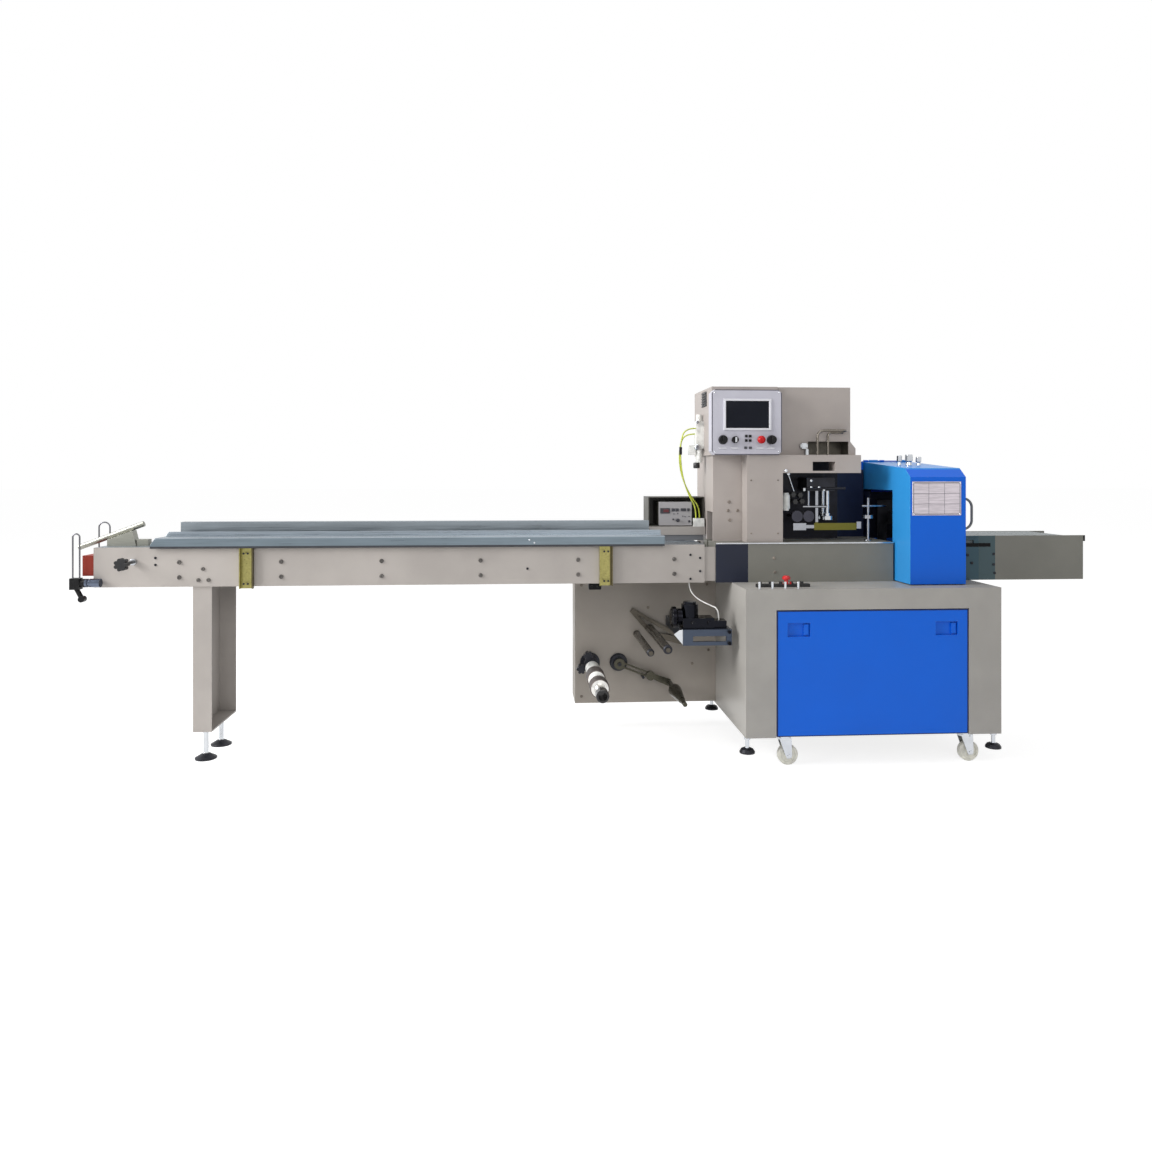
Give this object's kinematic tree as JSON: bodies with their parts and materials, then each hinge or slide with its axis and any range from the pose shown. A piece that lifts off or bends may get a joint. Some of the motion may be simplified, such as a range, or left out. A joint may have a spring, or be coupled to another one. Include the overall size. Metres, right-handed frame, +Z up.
{
  "type": "horizontal flow wrapper",
  "caption": "Horizontal flow-wrapping machine with a long infeed chain conveyor, film frame, forming tower with control panel, blue end-seal guard and outfeed belt on a castor cabinet.",
  "frame": {"origin": "centre of the machine's bounding box on the floor", "axes": "+X the way the product travels, from infeed to outfeed; +Y from the operator's side to the back; +Z up"},
  "size_m": [4.1768, 0.78, 1.512],
  "materials": {
    "cabinet_paint": "satin",
    "blue_paint": "gloss",
    "plate_paint": "satin",
    "brushed_steel": "brushed",
    "rail_steel": "brushed",
    "chrome": "polished",
    "dark_steel": "satin",
    "black_plastic": "matte",
    "castor_nylon": "satin",
    "motor_paint": "satin",
    "chain_steel": "satin",
    "yellow_zinc": "satin",
    "panel_face": "satin",
    "belt_rubber": "matte",
    "air_hose": "gloss",
    "white_hose": "gloss",
    "white_plastic": "satin"
  },
  "bodies": {
    "frame": {"base_cabinet": "cabinet_paint", "front_door": "blue_paint", "castor_plates": "chrome", "levelling_feet": "dark_steel", "drive_motor": "motor_paint", "deck_controls": "black_plastic", "film_frame": "plate_paint", "reel_bearing": "dark_steel", "film_guides": "dark_steel", "coder_bracket": "dark_steel", "date_coder": "dark_steel", "coder_hose": "white_hose", "infeed_side_plates": "plate_paint", "infeed_bed": "brushed_steel", "infeed_shafts": "chrome", "infeed_chain": "chain_steel", "infeed_ends": "brushed_steel", "infeed_leg": "plate_paint", "guide_rails": "rail_steel", "rail_brackets": "yellow_zinc", "stop_bar": "rail_steel", "end_sensor": "chrome", "table_housing": "plate_paint", "tower": "cabinet_paint", "forming_housing": "cabinet_paint", "control_panel": "panel_face", "panel_controls": "black_plastic", "lift_handle": "chrome", "fin_seal_block": "dark_steel", "fin_fittings": "chrome", "guard_rear_housing": "blue_paint", "end_seal_jaws": "dark_steel", "outfeed_frame": "plate_paint", "outfeed_belt": "belt_rubber", "printer_box": "panel_face", "air_fittings": "white_plastic", "air_tube_1": "air_hose", "air_tube_2": "air_hose"},
    "reel": {"reel_shaft": "chrome"},
    "roller_1": {"idler_roller_1": "dark_steel"},
    "roller_2": {"idler_roller_2": "dark_steel"},
    "dancer": {"dancer_arm": "dark_steel"},
    "knob": {"tension_knob": "black_plastic"},
    "fin_front": {"fin_wheel_front": "chrome"},
    "fin_back": {"fin_wheel_back": "chrome"},
    "guard": {"end_guard": "blue_paint", "guard_fittings": "chrome", "guard_handle": "chrome"},
    "castor_1": {"castor_fork_1": "chrome"},
    "wheel_1": {"castor_wheel_1": "castor_nylon"},
    "castor_2": {"castor_fork_2": "chrome"},
    "wheel_2": {"castor_wheel_2": "castor_nylon"},
    "castor_3": {"castor_fork_3": "chrome"},
    "wheel_3": {"castor_wheel_3": "castor_nylon"},
    "castor_4": {"castor_fork_4": "chrome"},
    "wheel_4": {"castor_wheel_4": "castor_nylon"}
  },
  "joints": [
    {"name": "castor_swivel_1", "type": "hinge", "parent": "frame", "child": "castor_1", "pos_m": [0.74, -0.24, 0.1], "axis": [0, 0, 1], "continuous": true},
    {"name": "wheel_roll_1", "type": "hinge", "parent": "castor_1", "child": "wheel_1", "pos_m": [0.754, -0.24, 0.04], "axis": [0, 1, 0], "continuous": true},
    {"name": "castor_swivel_2", "type": "hinge", "parent": "frame", "child": "castor_2", "pos_m": [1.476, -0.24, 0.1], "axis": [0, 0, 1], "continuous": true},
    {"name": "wheel_roll_2", "type": "hinge", "parent": "castor_2", "child": "wheel_2", "pos_m": [1.49, -0.24, 0.04], "axis": [0, 1, 0], "continuous": true},
    {"name": "castor_swivel_3", "type": "hinge", "parent": "frame", "child": "castor_3", "pos_m": [0.74, 0.32, 0.1], "axis": [0, 0, 1], "continuous": true},
    {"name": "wheel_roll_3", "type": "hinge", "parent": "castor_3", "child": "wheel_3", "pos_m": [0.754, 0.32, 0.04], "axis": [0, 1, 0], "continuous": true},
    {"name": "castor_swivel_4", "type": "hinge", "parent": "frame", "child": "castor_4", "pos_m": [1.476, 0.32, 0.1], "axis": [0, 0, 1], "continuous": true},
    {"name": "wheel_roll_4", "type": "hinge", "parent": "castor_4", "child": "wheel_4", "pos_m": [1.49, 0.32, 0.04], "axis": [0, 1, 0], "continuous": true},
    {"name": "reel_spin", "type": "hinge", "parent": "frame", "child": "reel", "pos_m": [0.008, 0, 0.316], "axis": [0, 1, 0], "continuous": true},
    {"name": "roller_1_spin", "type": "hinge", "parent": "frame", "child": "roller_1", "pos_m": [0.216, 0, 0.438], "axis": [0, 1, 0], "continuous": true},
    {"name": "roller_2_spin", "type": "hinge", "parent": "frame", "child": "roller_2", "pos_m": [0.272, 0, 0.465], "axis": [0, 1, 0], "continuous": true},
    {"name": "dancer_swing", "type": "hinge", "parent": "frame", "child": "dancer", "pos_m": [0.134, 0.17, 0.315], "axis": [0, -1, 0], "range_deg": [0, 30]},
    {"name": "tension_turn", "type": "hinge", "parent": "frame", "child": "knob", "pos_m": [-1.818, -0.15, 0.8], "axis": [0, 1, 0], "continuous": true},
    {"name": "fin_front_spin", "type": "hinge", "parent": "frame", "child": "fin_front", "pos_m": [1.017, 0.0415, 0.95], "axis": [0, 0, 1], "continuous": true},
    {"name": "fin_back_spin", "type": "hinge", "parent": "frame", "child": "fin_back", "pos_m": [1.017, 0.0985, 0.95], "axis": [0, 0, 1], "continuous": true},
    {"name": "guard_lift", "type": "hinge", "parent": "frame", "child": "guard", "pos_m": [1.373, 0.254, 1.204], "axis": [-1, 0, 0], "range_deg": [0, 75]}
  ],
  "couplings": [
    {"joint": "fin_back_spin", "follows": "fin_front_spin", "ratio": -1}
  ]
}
